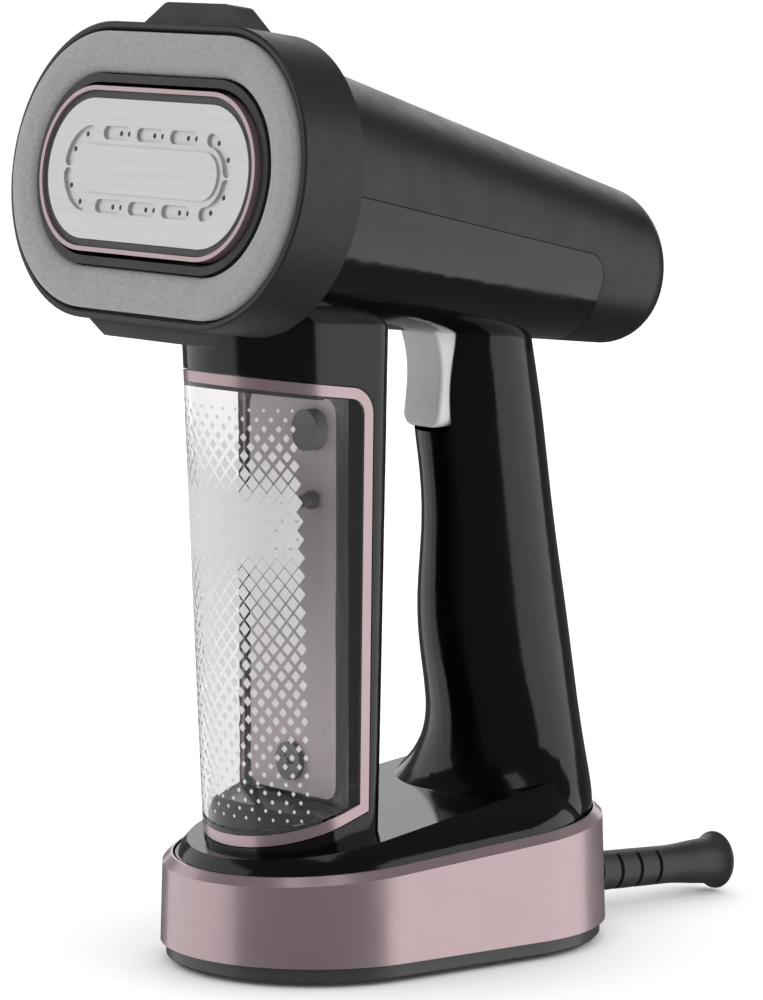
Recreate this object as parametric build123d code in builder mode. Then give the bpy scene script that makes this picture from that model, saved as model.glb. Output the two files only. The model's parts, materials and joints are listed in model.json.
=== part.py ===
"""Standing garment steamer: barrel and steam head on a column with a clear water tank, loop handle, oval base.

Frame: millimetres, +Z up, origin on the table under the middle of the base, the steam plate faces -Y.
"""

from build123d import *
import os
from math import cos, hypot, radians, sin

os.makedirs("parts", exist_ok=True)

# ---------------------------------------------------------------- driving dimensions
PAD_HEIGHT = 1.2          # rubber foot pad under the sole
SOLE_TOP = 6.2
BASE_FRONT_Y = -27.7      # centres and radii of the two round ends of the base
BASE_FRONT_R = 49.4
BASE_REAR_Y = 25.3
BASE_REAR_R = 51.8
BAND_WALL = 2.2
BAND_LIP = 4.0
BAND_TOP = 38.4           # height of the band's inner rim at y = 0
BAND_BEVEL = 2.5
SKIRT_TOP = 38.0          # the housing's skirt inside the band
BASE_SLOPE = 0.067        # the band's top rises towards the rear
WALL = 2.2                # housing shells
GAP = 0.25                # shadow gap between covers

COLUMN_HALF = 30.0
COLUMN_NOSE = 24.4        # depth of the half-elliptical front
COLUMN_CORNER = 8.0
COLUMN_FOOT = (30.0, -63.0, -22.5)     # height, front y, rear y
COLUMN_HEAD = (212.0, -71.6, -17.8)

HEAD_Y = -92.0            # centre of the pad's front face
HEAD_Z = 251.2
HEAD_TILT = 8.9
HEAD_STRAIGHT = 59.4      # straight length of every stadium on the head
PLATE_R = 21.8
SEAL_R = 24.1
COLLAR_R = 25.6
LIP_INNER_R = 26.9
LIP_OUTER_R = 29.5
PAD_R = 42.9
FRAME_R = 46.0
FRAME_DEPTH = 24.0

BARREL_FRONT = (52.0, 41.0)            # straight length and radius of the barrel's front section
BARREL_REAR = (2.0, 24.6)
BARREL_REAR_Y = 100.0
BARREL_REAR_Z = 212.2
BARREL_EDGE = 13.0
COVER_SPLIT = ((-100.0, 254.1), (62.0, 220.2))   # y, z of the seam between cover and lower barrel

PLINTH_STEP = 3.5
PLINTH_TOP = 47.2
PLINTH_SLOPE = 0.14
ARCH_Y = -0.5
ARCH_Z = 178.5
ARCH_R = 17.6
WEB_HALF = 15.5
WEB_FRONT_Y = -24.0
WEB_REAR_Y = 36.0

POCKET_R = 11.3           # steam pockets on the plate, around the raised middle
POCKET_WIDTH = 4.2
POCKET_LENGTH = 14.0
POCKET_PITCH = 17.3
STEAM_HOLE_R = 0.85
SCREW_SEAT = 12.0

TRIGGER_HALF = 9.2
TRIGGER_EDGE = 1.4
TRIGGER_PIVOT = (26.5, 196.5)          # y, z
SWITCH_Z = 172.0
BUTTON_Z = 78.0
SCREW_SPOTS = ((-58.0, 208.0), (-12.0, 210.0), (54.0, 206.0), (31.0, 148.0), (62.0, 40.0))   # y, z
SOLE_SPOTS = ((-27.0, -44.0), (27.0, -44.0), (-28.0, 40.0), (28.0, 40.0))                   # x, y

# side outline of the tank's place in the column: y, z of its corners
TANK_TOP_FRONT = (-84.0, 191.0)
TANK_TOP_REAR = (-27.6, 183.6)
TANK_LOW_REAR = (-29.6, 51.0)
TANK_LOW_FRONT = (-84.0, 33.0)
TANK_CORNER = 9.0
TANK_FIT = 0.4            # play around the tank
TRIM_WIDTH = 3.4
TRIM_DEPTH = 1.6
TANK_WALL = 1.8
RECESS_Y = -34.0          # the housing bulges forward to here between the tank's side flanges
RECESS_HALF = 23.0
PLUG_X = 12.0
PLUG_Z = 170.0
SPIGOT_Z = 64.0

SPIGOT_TIP = -27.6
POPPET_Y = -32.2
SOCKET_BACK_Y = -24.6
BACK_Z = 117.0            # middle and size of the tank's rear wall
BACK_SIZE = (44.0, 126.0)

GUARD_START = (66.2, 13.7)             # y, z of the cord guard's axis
GUARD_END = (143.5, 9.9)
CORD_R = 3.6
GUARD_R = 6.7
GUARD_FLANGE_R = 9.2      # flange that keeps the guard behind the housing wall
GUARD_FLANGE = 2.6
GUARD_THROAT_R = 4.6      # wider bore where the guard sits inside the base
GUARD_THROAT = 12.5
GUARD_RINGS = 9
GUARD_PITCH = 4.3
BUTTON_FACE_Y = 74.3

# ---------------------------------------------------------------- planes
head_normal = Vector(0, -cos(radians(HEAD_TILT)), sin(radians(HEAD_TILT)))


def head_plane(depth):
    """Plane of the steam head, local x to the right, local y up; depth grows out of the face."""
    centre = Vector(0, HEAD_Y, HEAD_Z) + head_normal * depth
    return Plane(origin=centre, x_dir=(1, 0, 0), z_dir=head_normal)


def tilted_plane(height):
    """Plane that rises towards the rear like the top of the base band."""
    return Plane(origin=(0, 0, height), x_dir=(1, 0, 0), z_dir=(0, -BASE_SLOPE, 1))


def cross_plane(y, z):
    """Upright plane across the object, facing the front."""
    return Plane(origin=(0, y, z), x_dir=(1, 0, 0), z_dir=(0, -1, 0))


def side_plane(x):
    """Upright plane along the object: local x is +Y, local y is +Z."""
    return Plane(origin=(x, 0, 0), x_dir=(0, 1, 0), z_dir=(1, 0, 0))


def save(name, builder):
    """Label a finished piece and write its file."""
    builder.part.label = name
    export_step(builder.part, f"parts/{name}.step")


# ---------------------------------------------------------------- shared outlines
def two_circle_hull(front_y, front_r, rear_y, rear_r):
    """Outline of two circles on the centre line and their tangents."""
    with Locations((0, front_y)):
        Circle(front_r)
    with Locations((0, rear_y)):
        Circle(rear_r)
    make_hull()


def footprint(inset):
    """Outline of the base."""
    two_circle_hull(BASE_FRONT_Y, BASE_FRONT_R - inset, BASE_REAR_Y, BASE_REAR_R - inset)


def stadium(straight, radius, mode=Mode.ADD):
    """Stadium lying along the local x axis."""
    SlotCenterToCenter(straight, 2 * radius, mode=mode)


def head_ring(outer, inner, front, back, straight=HEAD_STRAIGHT):
    """Stadium ring on the steam head between two depths."""
    with BuildSketch(head_plane(back)) as profile:
        stadium(straight, outer)
        stadium(straight, inner, mode=Mode.SUBTRACT)
    extrude(profile.sketch, amount=front - back)


def head_slab(radius, front, back, straight=HEAD_STRAIGHT, mode=Mode.ADD):
    """Solid stadium on the steam head between two depths."""
    with BuildSketch(head_plane(back)) as profile:
        stadium(straight, radius)
    extrude(profile.sketch, amount=front - back, mode=mode)


def column_outline(front_y, rear_y, inset):
    """Column section: half ellipse in front, flat sides, rounded rear corners."""
    half = COLUMN_HALF - inset
    nose_y = front_y + COLUMN_NOSE
    with BuildLine() as outline:
        EllipticalCenterArc((0, nose_y), half, COLUMN_NOSE - inset, 180, arc_size=180)
        Line((half, nose_y), (half, rear_y - inset))
        Line((half, rear_y - inset), (-half, rear_y - inset))
        Line((-half, rear_y - inset), (-half, nose_y))
    make_face(outline.line)
    corners = vertices().group_by(Axis.Y)[-1]
    fillet(corners, COLUMN_CORNER - inset)


# ---------------------------------------------------------------- housing volumes
DECK = (  # height at y = 0, front circle y and radius, rear circle y and radius
    (37.2, -27.7, 44.2, 25.3, 46.6),
    (42.5, -28.0, 41.0, 27.5, 43.6),
    (47.0, -29.0, 35.5, 32.0, 38.0),
    (53.0, -30.0, 28.5, 37.0, 31.5),
    (58.0, -30.0, 20.0, 40.0, 24.0),
)
HANDLE = (  # height, centre y, half width, half depth
    (42.0, 38.0, 42.0, 34.0),
    (48.2, 43.2, 38.0, 29.8),
    (60.2, 48.6, 29.0, 25.8),
    (91.2, 46.3, 22.5, 25.8),
    (121.2, 43.4, 20.0, 24.3),
    (156.2, 40.3, 18.0, 22.5),
    (187.0, 37.2, 16.5, 20.8),
    (204.0, 35.8, 16.0, 20.0),
)


def add_deck(inset):
    """Domed saddle that rises out of the base band."""
    skirt_top = SKIRT_TOP - inset
    with BuildSketch(Plane.XY.offset(SOLE_TOP)) as skirt:
        footprint(BAND_LIP + 0.8 + inset)
    extrude(skirt.sketch, amount=skirt_top)
    split(bisect_by=tilted_plane(skirt_top), keep=Keep.BOTTOM)
    sections = []
    for height, front_y, front_r, rear_y, rear_r in DECK:
        with BuildSketch(tilted_plane(height - inset)) as section:
            two_circle_hull(front_y, front_r - inset, rear_y, rear_r - inset)
        sections.append(section.sketch)
    loft(sections)


def add_handle(inset):
    """Handle, an ellipse that flares into the base."""
    sections = []
    for height, centre_y, half_width, half_depth in HANDLE:
        with BuildSketch(Plane.XY.offset(height)) as section:
            with Locations((0, centre_y)):
                Ellipse(half_width - inset, half_depth - inset)
        sections.append(section.sketch)
    loft(sections)


def add_column(inset):
    """Column that carries the tank and the head."""
    sections = []
    for height, front_y, rear_y in (COLUMN_FOOT, COLUMN_HEAD):
        with BuildSketch(Plane.XY.offset(height)) as section:
            column_outline(front_y, rear_y, inset)
        sections.append(section.sketch)
    loft(sections)


def add_barrel(inset):
    """Barrel: a wide stadium at the head, nearly round at the rear, with a rounded end."""
    with BuildSketch(head_plane(-FRAME_DEPTH)) as front:
        stadium(BARREL_FRONT[0], BARREL_FRONT[1] - inset)
    with BuildSketch(cross_plane(BARREL_REAR_Y - inset, BARREL_REAR_Z)) as rear:
        stadium(BARREL_REAR[0], BARREL_REAR[1] - inset)
    loft([front.sketch, rear.sketch])
    rear_edges = edges().group_by(Axis.Y)[-1]
    fillet(rear_edges, BARREL_EDGE - inset)


def add_plinth(inset):
    """Step around the foot of the column."""
    height, front_y, rear_y = COLUMN_FOOT
    top = Plane(origin=(0, 0, PLINTH_TOP - inset), x_dir=(1, 0, 0), z_dir=(0, -PLINTH_SLOPE, 1))
    with BuildSketch(Plane.XY.offset(height)) as outline:
        column_outline(front_y, rear_y, inset - PLINTH_STEP)
    extrude(outline.sketch, amount=30)
    split(bisect_by=top, keep=Keep.BOTTOM)


def add_web():
    """Block between column and handle with the round top of the finger opening."""
    with BuildSketch(Plane.XY.offset(ARCH_Z - 4)) as web:
        with Locations((0, (WEB_FRONT_Y + WEB_REAR_Y) / 2)):
            Rectangle(2 * WEB_HALF, WEB_REAR_Y - WEB_FRONT_Y)
    extrude(web.sketch, amount=36)
    with BuildSketch(side_plane(-COLUMN_HALF)) as arch:
        with Locations((ARCH_Y, ARCH_Z)):
            Circle(ARCH_R)
        with Locations((ARCH_Y, ARCH_Z - ARCH_R)):
            Rectangle(2 * ARCH_R, 2 * ARCH_R)
    extrude(arch.sketch, amount=2 * COLUMN_HALF, mode=Mode.SUBTRACT)


def side_cylinder(y, z, radius, x_from, x_to, mode=Mode.ADD):
    """Cylinder across the object between two x values."""
    with BuildSketch(side_plane(x_from)) as profile:
        with Locations((y, z)):
            Circle(radius)
    extrude(profile.sketch, amount=x_to - x_from, mode=mode)


def long_cylinder(x, z, radius, y_from, y_to, mode=Mode.ADD):
    """Cylinder along the object between two y values, y_from > y_to."""
    with BuildSketch(cross_plane(y_from, z)) as profile:
        with Locations((x, 0)):
            Circle(radius)
    extrude(profile.sketch, amount=y_from - y_to, mode=mode)


def long_block(x, z, width, height, y_from, y_to, corner=0.0, mode=Mode.ADD):
    """Block between two y values, y_from > y_to, with optional rounded corners."""
    with BuildSketch(cross_plane(y_from, z)) as profile:
        with Locations((x, 0)):
            if corner:
                RectangleRounded(width, height, corner)
            else:
                Rectangle(width, height)
    extrude(profile.sketch, amount=y_from - y_to, mode=mode)


def upright_cylinder(x, y, radius, z_from, z_to, mode=Mode.ADD):
    """Vertical cylinder."""
    with BuildSketch(Plane.XY.offset(z_from)) as profile:
        with Locations((x, y)):
            Circle(radius)
    extrude(profile.sketch, amount=z_to - z_from, mode=mode)


def tank_prism(grow, half, mode=Mode.ADD):
    """The tank's side outline carried across the object, grown or shrunk."""
    with BuildSketch(side_plane(-half)) as profile:
        with BuildLine() as outline:
            Polyline(TANK_TOP_FRONT, TANK_TOP_REAR, TANK_LOW_REAR, TANK_LOW_FRONT, close=True)
        make_face(outline.line)
        rear_corners = vertices().group_by(Axis.Y)[-2:]
        fillet(rear_corners[0] + rear_corners[1], TANK_CORNER)
        if grow:
            offset(amount=grow, kind=Kind.INTERSECTION)
    extrude(profile.sketch, amount=2 * half, mode=mode)


def lower_barrel_side(grow, mode=Mode.ADD):
    """Side view of the glossy lower half of the barrel, carried across the object."""
    (front_y, front_z), (rear_y, rear_z) = COVER_SPLIT
    with BuildSketch(side_plane(-80)) as profile:
        with BuildLine() as outline:
            Polyline((front_y, 150), (front_y, front_z), (rear_y, rear_z), (rear_y, 150), close=True)
        make_face(outline.line)
        top_corner = vertices().sort_by(Axis.X)[-2:].sort_by(Axis.Y)[-1]
        fillet(top_corner, 9)
        if grow:
            offset(amount=grow, kind=Kind.INTERSECTION)
    extrude(profile.sketch, amount=160, mode=mode)


# ---------------------------------------------------------------- base
with BuildPart() as foot_pad:
    with BuildSketch() as pad_outline:
        footprint(8.0)
    extrude(amount=PAD_HEIGHT + 0.5)
save("foot_pad", foot_pad)

with BuildPart() as sole_plate:
    with BuildSketch(Plane.XY.offset(PAD_HEIGHT)):
        footprint(1.8)
    extrude(amount=SOLE_TOP - PAD_HEIGHT)
    chamfer(sole_plate.edges().group_by(Axis.Z)[0], 0.8)
    with BuildSketch(Plane.XY.offset(SOLE_TOP)):
        footprint(7.0)
    extrude(amount=-2.6, mode=Mode.SUBTRACT)
    with BuildSketch(Plane.XY.offset(PAD_HEIGHT)):
        footprint(7.8)
    extrude(amount=0.5, mode=Mode.SUBTRACT)
    with BuildSketch(Plane.XY.offset(PAD_HEIGHT + 0.5)):
        with Locations(*SOLE_SPOTS):
            Circle(4.6)
    extrude(amount=SOLE_TOP - PAD_HEIGHT - 0.5)
    with BuildSketch(Plane.XY.offset(PAD_HEIGHT)):
        with Locations(*SOLE_SPOTS):
            Circle(3.1)
    extrude(amount=2.6, mode=Mode.SUBTRACT)
    with BuildSketch(Plane.XY.offset(PAD_HEIGHT)):
        with Locations(*SOLE_SPOTS):
            Circle(1.7)
    extrude(amount=6, mode=Mode.SUBTRACT)
save("sole_plate", sole_plate)

with BuildPart() as sole_screws:
    for spot_x, spot_y in SOLE_SPOTS:
        upright_cylinder(spot_x, spot_y, 2.9, PAD_HEIGHT + 0.7, PAD_HEIGHT + 2.5)
        upright_cylinder(spot_x, spot_y, 1.4, PAD_HEIGHT + 2.5, 17.0)
save("sole_screws", sole_screws)

guard_slope = (GUARD_END[1] - GUARD_START[1]) / (GUARD_END[0] - GUARD_START[0])
guard_length = GUARD_END[0] - GUARD_START[0]
guard_plane = Plane(
    origin=(0, GUARD_START[0], GUARD_START[1]), x_dir=(1, 0, 0), z_dir=(0, 1, guard_slope)
)

with BuildPart() as band_hollow:
    with BuildSketch(Plane.XY.offset(SOLE_TOP)):
        footprint(BAND_WALL + 0.8)
    extrude(amount=60)
    split(bisect_by=tilted_plane(BAND_TOP - 3.2), keep=Keep.BOTTOM)
    with BuildSketch(Plane.XY.offset(SOLE_TOP)):
        footprint(BAND_LIP)
    extrude(amount=60)

with BuildPart() as base_band:
    with BuildSketch(Plane.XY.offset(SOLE_TOP)):
        footprint(0)
    with BuildSketch(Plane.XY.offset(60)):
        footprint(1.6)
    loft()
    split(bisect_by=tilted_plane(BAND_TOP), keep=Keep.BOTTOM)
    chamfer(base_band.faces().sort_by(Axis.Z)[-1].edges(), BAND_BEVEL)
    add(band_hollow.part, mode=Mode.SUBTRACT)
    with BuildSketch(guard_plane) as cord_hole:
        Circle(GUARD_R + 0.15)
    extrude(cord_hole.sketch, amount=guard_length, mode=Mode.SUBTRACT)
save("base_band", base_band)

# ---------------------------------------------------------------- housing
with BuildPart() as lower_barrel:
    add_barrel(0)
    lower_barrel_side(0, mode=Mode.INTERSECT)

with BuildPart() as housing_keep:           # what stays solid inside the housing
    tank_prism(WALL - 0.2, COLUMN_HALF + 2)
    with BuildSketch(cross_plane(RECESS_Y + 2.2, 120)) as bulge:
        Rectangle(2 * RECESS_HALF - 2, 400)
    extrude(bulge.sketch, amount=-30, mode=Mode.SUBTRACT)
    for spot_x, spot_y in SOLE_SPOTS:
        upright_cylinder(spot_x, spot_y, 4.2, SOLE_TOP, 64)
    for spot_y, spot_z in SCREW_SPOTS:
        side_cylinder(spot_y, spot_z, 3.6, -60, 60)
    for side in (-1, 1):
        side_cylinder(*TRIGGER_PIVOT, 3.4, side * (TRIGGER_HALF + 0.5), side * 30)

with BuildPart() as cavity:
    add_deck(WALL)
    add_plinth(WALL)
    add_handle(WALL)
    add_column(WALL)
    add_barrel(WALL)
    add(housing_keep.part, mode=Mode.SUBTRACT)

with BuildPart() as housing:
    add_web()
    add_deck(0)
    add_plinth(0)
    add_handle(0)
    add_column(0)
    add(lower_barrel.part)
    add(cavity.part, mode=Mode.SUBTRACT)
    tank_prism(0, COLUMN_HALF + 6, mode=Mode.SUBTRACT)
    # openings of the shells
    long_block(0, 183.6, 2 * TRIGGER_HALF + 0.7, 38.2, 30, 8, 3.0, mode=Mode.SUBTRACT)
    long_block(0, BUTTON_Z, 8.6, 16.6, 80, 66, 4.2, mode=Mode.SUBTRACT)
    long_cylinder(0, SPIGOT_Z, 5.2, RECESS_Y + 3, RECESS_Y - 1, mode=Mode.SUBTRACT)
    with BuildSketch(guard_plane) as guard_hole:
        Circle(GUARD_R + 0.15)
    extrude(guard_hole.sketch, amount=guard_length, mode=Mode.SUBTRACT)
    for spot_x, spot_y in SOLE_SPOTS:
        upright_cylinder(spot_x, spot_y, 1.4, SOLE_TOP, 18.0, mode=Mode.SUBTRACT)
    for spot_y, spot_z in SCREW_SPOTS:
        side_cylinder(spot_y, spot_z, 1.3, -14, 9.5, mode=Mode.SUBTRACT)
        side_cylinder(spot_y, spot_z, 3.0, -70, -SCREW_SEAT, mode=Mode.SUBTRACT)
    side_cylinder(*TRIGGER_PIVOT, 1.5, -12.5, 12.5, mode=Mode.SUBTRACT)

with BuildPart() as housing_left:
    add(housing.part)
    split(bisect_by=Plane.YZ, keep=Keep.BOTTOM)
save("housing_left", housing_left)

with BuildPart() as housing_right:
    add(housing.part)
    split(bisect_by=Plane.YZ, keep=Keep.TOP)
save("housing_right", housing_right)

with BuildPart() as housing_screws:
    for spot_y, spot_z in SCREW_SPOTS:
        side_cylinder(spot_y, spot_z, 1.3, -SCREW_SEAT, 9.0)
        side_cylinder(spot_y, spot_z, 2.8, -SCREW_SEAT - 2.2, -SCREW_SEAT)
        side_cylinder(spot_y, spot_z, 1.1, -SCREW_SEAT - 2.2, -SCREW_SEAT - 1.0, mode=Mode.SUBTRACT)
save("housing_screws", housing_screws)

with BuildPart() as barrel_core:
    add_barrel(WALL)

with BuildPart() as barrel_cover:
    add_barrel(0)
    add(barrel_core.part, mode=Mode.SUBTRACT)
    lower_barrel_side(GAP, mode=Mode.SUBTRACT)
save("barrel_cover", barrel_cover)

# ---------------------------------------------------------------- pad attachment
with BuildPart() as pad_frame:
    head_ring(FRAME_R, FRAME_R - 2.4, -2.0, -FRAME_DEPTH)
    chamfer(pad_frame.edges().group_by(Axis(head_plane(0).origin, head_normal))[-1], 0.6)
    head_ring(FRAME_R - 1.0, LIP_INNER_R, -5.7, -7.7)
    head_ring(LIP_OUTER_R, LIP_INNER_R, -0.6, -13.0)
    with BuildSketch(head_plane(-11.0)) as top_tab:
        Polygon((-29, 45), (29, 45), (16, 53.4), (-16, 53.4), align=None)
        fillet(top_tab.vertices().group_by(Axis.Y)[-1], 5)
    extrude(top_tab.sketch, amount=-9.0)
    with BuildSketch(head_plane(-7.0)) as low_tab:
        Polygon((-33, -45), (-22, -50.6), (22, -50.6), (33, -45), align=None)
        fillet(low_tab.vertices().group_by(Axis.Y)[0], 4)
    extrude(low_tab.sketch, amount=-10.0)
save("pad_frame", pad_frame)

with BuildPart() as lint_pad:
    head_ring(PAD_R, LIP_OUTER_R + 0.5, 0, -5.7)
save("lint_pad", lint_pad)

# ---------------------------------------------------------------- steam head
with BuildPart() as nozzle_housing:
    head_slab(BARREL_FRONT[1], -21.5, -FRAME_DEPTH, straight=BARREL_FRONT[0])
    head_slab(COLLAR_R, -8.0, -22.5)
    head_slab(COLLAR_R - 1.4, 0, -FRAME_DEPTH - 1, mode=Mode.SUBTRACT)
save("nozzle_housing", nozzle_housing)

with BuildPart() as collar_ring:
    head_ring(COLLAR_R, COLLAR_R - 1.4, 1.2, -8.0)
save("collar_ring", collar_ring)

with BuildPart() as plate_seal:
    head_ring(SEAL_R, PLATE_R + 0.1, 0.1, -6.0)
save("plate_seal", plate_seal)

with BuildPart() as steam_plate:
    head_slab(PLATE_R, 0.6, -3.0)
    head_slab(7.3, 1.3, 0.5)
    with BuildSketch(head_plane(0.6)) as pockets:
        with GridLocations(POCKET_PITCH, 2 * POCKET_R, 3, 2):
            SlotOverall(POCKET_LENGTH, POCKET_WIDTH)
        for side in (0, 180):
            for start in (12, -82):
                with BuildLine(mode=Mode.PRIVATE) as bend:
                    CenterArc((HEAD_STRAIGHT / 2, 0), POCKET_R, start, 70)
                bend_face = SlotArc(bend.line.edge(), POCKET_WIDTH, mode=Mode.PRIVATE)
                add(bend_face.rotate(Axis.Z, side))
    extrude(pockets.sketch, amount=-1.0, mode=Mode.SUBTRACT)
    with BuildSketch(head_plane(0.6)) as steam_holes:
        with GridLocations(POCKET_PITCH, 2 * POCKET_R, 3, 2):
            with Locations((1.0, 0), (5.2, 0)):
                Circle(STEAM_HOLE_R)
        for side in (-1, 1):
            with Locations((side * HEAD_STRAIGHT / 2, 0)):
                for angle in (30, 68, -30, -68):
                    reach = side * POCKET_R
                    with Locations((reach * cos(radians(angle)), POCKET_R * sin(radians(angle)))):
                        Circle(STEAM_HOLE_R)
    extrude(steam_holes.sketch, amount=-4.0, mode=Mode.SUBTRACT)
save("steam_plate", steam_plate)

# ---------------------------------------------------------------- heater behind the plate
ELEMENT_Y = 16.4
ELEMENT_R = 2.8
ELEMENT_DEPTH = -10.0
COVER_SPOTS = ((-35, -6), (-35, 6), (35, -6), (35, 6))


def element_bar(radius):
    """U-shaped heating element with two terminals at its ends."""
    half = HEAD_STRAIGHT / 2
    with BuildLine(head_plane(ELEMENT_DEPTH)) as path:
        Line((-half, ELEMENT_Y), (half, ELEMENT_Y))
        CenterArc((half, 0), ELEMENT_Y, 90, -180)
        Line((half, -ELEMENT_Y), (-half, -ELEMENT_Y))
    start = path.line @ 0
    with BuildSketch(Plane(origin=start, z_dir=path.line % 0)) as section:
        Circle(radius)
    sweep(section.sketch, path=path.line)
    with BuildSketch(head_plane(ELEMENT_DEPTH)) as terminals:
        with Locations((-half, ELEMENT_Y), (-half, -ELEMENT_Y)):
            Circle(radius)
    extrude(terminals.sketch, amount=-13.0)


def head_cylinders(spots, radius, front, back, mode=Mode.ADD):
    """Round bars square to the steam head."""
    with BuildSketch(head_plane(back)) as bars:
        with Locations(*spots):
            Circle(radius)
    extrude(bars.sketch, amount=front - back, mode=mode)


with BuildPart() as heating_element:
    element_bar(ELEMENT_R)
save("heating_element", heating_element)

with BuildPart() as element_groove:
    element_bar(ELEMENT_R + 0.05)

with BuildPart() as heater_block:
    head_slab(20.5, -3.0, -17.0)
    head_slab(13.8, -2.0, -5.0, mode=Mode.SUBTRACT)
    head_slab(9.5, -9.0, -18.0, straight=44, mode=Mode.SUBTRACT)
    head_cylinders(((-20, 0), (-7, 0), (7, 0), (20, 0)), 1.5, -4, -10, mode=Mode.SUBTRACT)
    head_cylinders(COVER_SPOTS, 1.2, -11, -18, mode=Mode.SUBTRACT)
    add(element_groove.part, mode=Mode.SUBTRACT)
save("heater_block", heater_block)

with BuildPart() as chamber_gasket:
    head_slab(13.0, -17.0, -17.6)
    head_slab(9.5, -16.0, -18.0, straight=44, mode=Mode.SUBTRACT)
    head_cylinders(COVER_SPOTS, 1.4, -16, -18, mode=Mode.SUBTRACT)
save("chamber_gasket", chamber_gasket)

with BuildPart() as chamber_cover:
    head_slab(13.0, -17.6, -20.0)
    head_cylinders(COVER_SPOTS, 1.4, -16, -21, mode=Mode.SUBTRACT)
    head_cylinders(((0, 0),), 1.6, -16, -21, mode=Mode.SUBTRACT)
save("chamber_cover", chamber_cover)

with BuildPart() as cover_screws:
    head_cylinders(COVER_SPOTS, 1.15, -12, -20.0)
    head_cylinders(COVER_SPOTS, 2.4, -20.0, -21.8)
save("cover_screws", cover_screws)

with BuildPart() as water_inlet:
    head_cylinders(((0, 0),), 3.6, -20.0, -22.0)
    head_cylinders(((0, 0),), 2.0, -21.0, -30.0)
    head_cylinders(((0, 0),), 1.2, -19, -31, mode=Mode.SUBTRACT)
save("water_inlet", water_inlet)

with BuildPart() as thermostat:
    head_cylinders(((18, 0),), 7.5, -20.0, -25.0)
    head_cylinders(((18, 0),), 5.5, -24.0, -28.0)
    head_cylinders(((15.5, 0), (20.5, 0)), 0.9, -27.0, -32.0)
save("thermostat", thermostat)

with BuildPart() as thermal_fuse:
    with BuildSketch(Plane(origin=head_plane(-22.3).origin + Vector(-24, 0, 0), z_dir=(1, 0, 0))) as fuse:
        Circle(2.2)
    extrude(fuse.sketch, amount=12)
save("thermal_fuse", thermal_fuse)

with BuildPart() as heat_shield:
    head_ring(22.4, 21.6, -7.0, -20.0)
save("heat_shield", heat_shield)

# ---------------------------------------------------------------- water tank
TANK_FLOOR_Y = RECESS_Y - TANK_FIT      # rear face of the tank between its side flanges
BACK_THICK = 2.6

with BuildPart() as trim_window:
    tank_prism(-TANK_FIT - TRIM_WIDTH, COLUMN_HALF + 6)

with BuildPart() as column_core:
    add_column(TRIM_DEPTH)

with BuildPart() as tank_trim:
    add_column(0)
    tank_prism(-TANK_FIT, COLUMN_HALF + 6, mode=Mode.INTERSECT)
    add(trim_window.part, mode=Mode.SUBTRACT)
    add(column_core.part, mode=Mode.SUBTRACT)
save("tank_trim", tank_trim)

with BuildPart() as tank_hollow:
    add_column(TANK_WALL)
    tank_prism(-TANK_FIT - TRIM_WIDTH - 0.4, COLUMN_HALF, mode=Mode.INTERSECT)
    with BuildSketch(cross_plane(TANK_FLOOR_Y - BACK_THICK, 120)) as flange:
        Rectangle(80, 400)
    extrude(flange.sketch, amount=-40, mode=Mode.SUBTRACT)

with BuildPart() as tank_gasket:
    add_column(0.5)
    tank_prism(-TANK_FIT - TRIM_WIDTH, COLUMN_HALF, mode=Mode.INTERSECT)
    tank_prism(-TANK_FIT - TRIM_WIDTH - 1.3, COLUMN_HALF + 1, mode=Mode.SUBTRACT)
    add(tank_hollow.part, mode=Mode.SUBTRACT)
    with BuildSketch(cross_plane(-47, 120)) as gasket_rear:
        Rectangle(80, 400)
    extrude(gasket_rear.sketch, amount=-40, mode=Mode.SUBTRACT)
save("tank_gasket", tank_gasket)

with BuildPart() as tank_shell:
    add_column(0)
    tank_prism(-TANK_FIT, COLUMN_HALF + 6, mode=Mode.INTERSECT)
    add(tank_hollow.part, mode=Mode.SUBTRACT)
    add(tank_trim.part, mode=Mode.SUBTRACT)
    add(tank_gasket.part, mode=Mode.SUBTRACT)
    with BuildSketch(cross_plane(TANK_FLOOR_Y, 120)) as bulge_room:
        Rectangle(2 * (RECESS_HALF + TANK_FIT), 400)
    extrude(bulge_room.sketch, amount=-30, mode=Mode.SUBTRACT)
    long_block(0, BACK_Z, BACK_SIZE[0], BACK_SIZE[1], TANK_FLOOR_Y + 1, -40, 5, mode=Mode.SUBTRACT)
save("tank_shell", tank_shell)

with BuildPart() as tank_back:
    long_block(0, BACK_Z, BACK_SIZE[0], BACK_SIZE[1], TANK_FLOOR_Y, TANK_FLOOR_Y - BACK_THICK, 5)
    long_cylinder(PLUG_X, PLUG_Z, 6.5, -30, -40, mode=Mode.SUBTRACT)
    long_cylinder(PLUG_X, PLUG_Z - 22, 2.1, -30, -40, mode=Mode.SUBTRACT)
    long_cylinder(PLUG_X, PLUG_Z, 9.2, TANK_FLOOR_Y + 1, TANK_FLOOR_Y - 1.3, mode=Mode.SUBTRACT)
    long_block(PLUG_X, PLUG_Z - 14, 8.4, 28, TANK_FLOOR_Y + 1, TANK_FLOOR_Y - 1.3, 4, mode=Mode.SUBTRACT)
    long_cylinder(0, SPIGOT_Z, 4.0, -30, -40, mode=Mode.SUBTRACT)
save("tank_back", tank_back)

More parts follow.
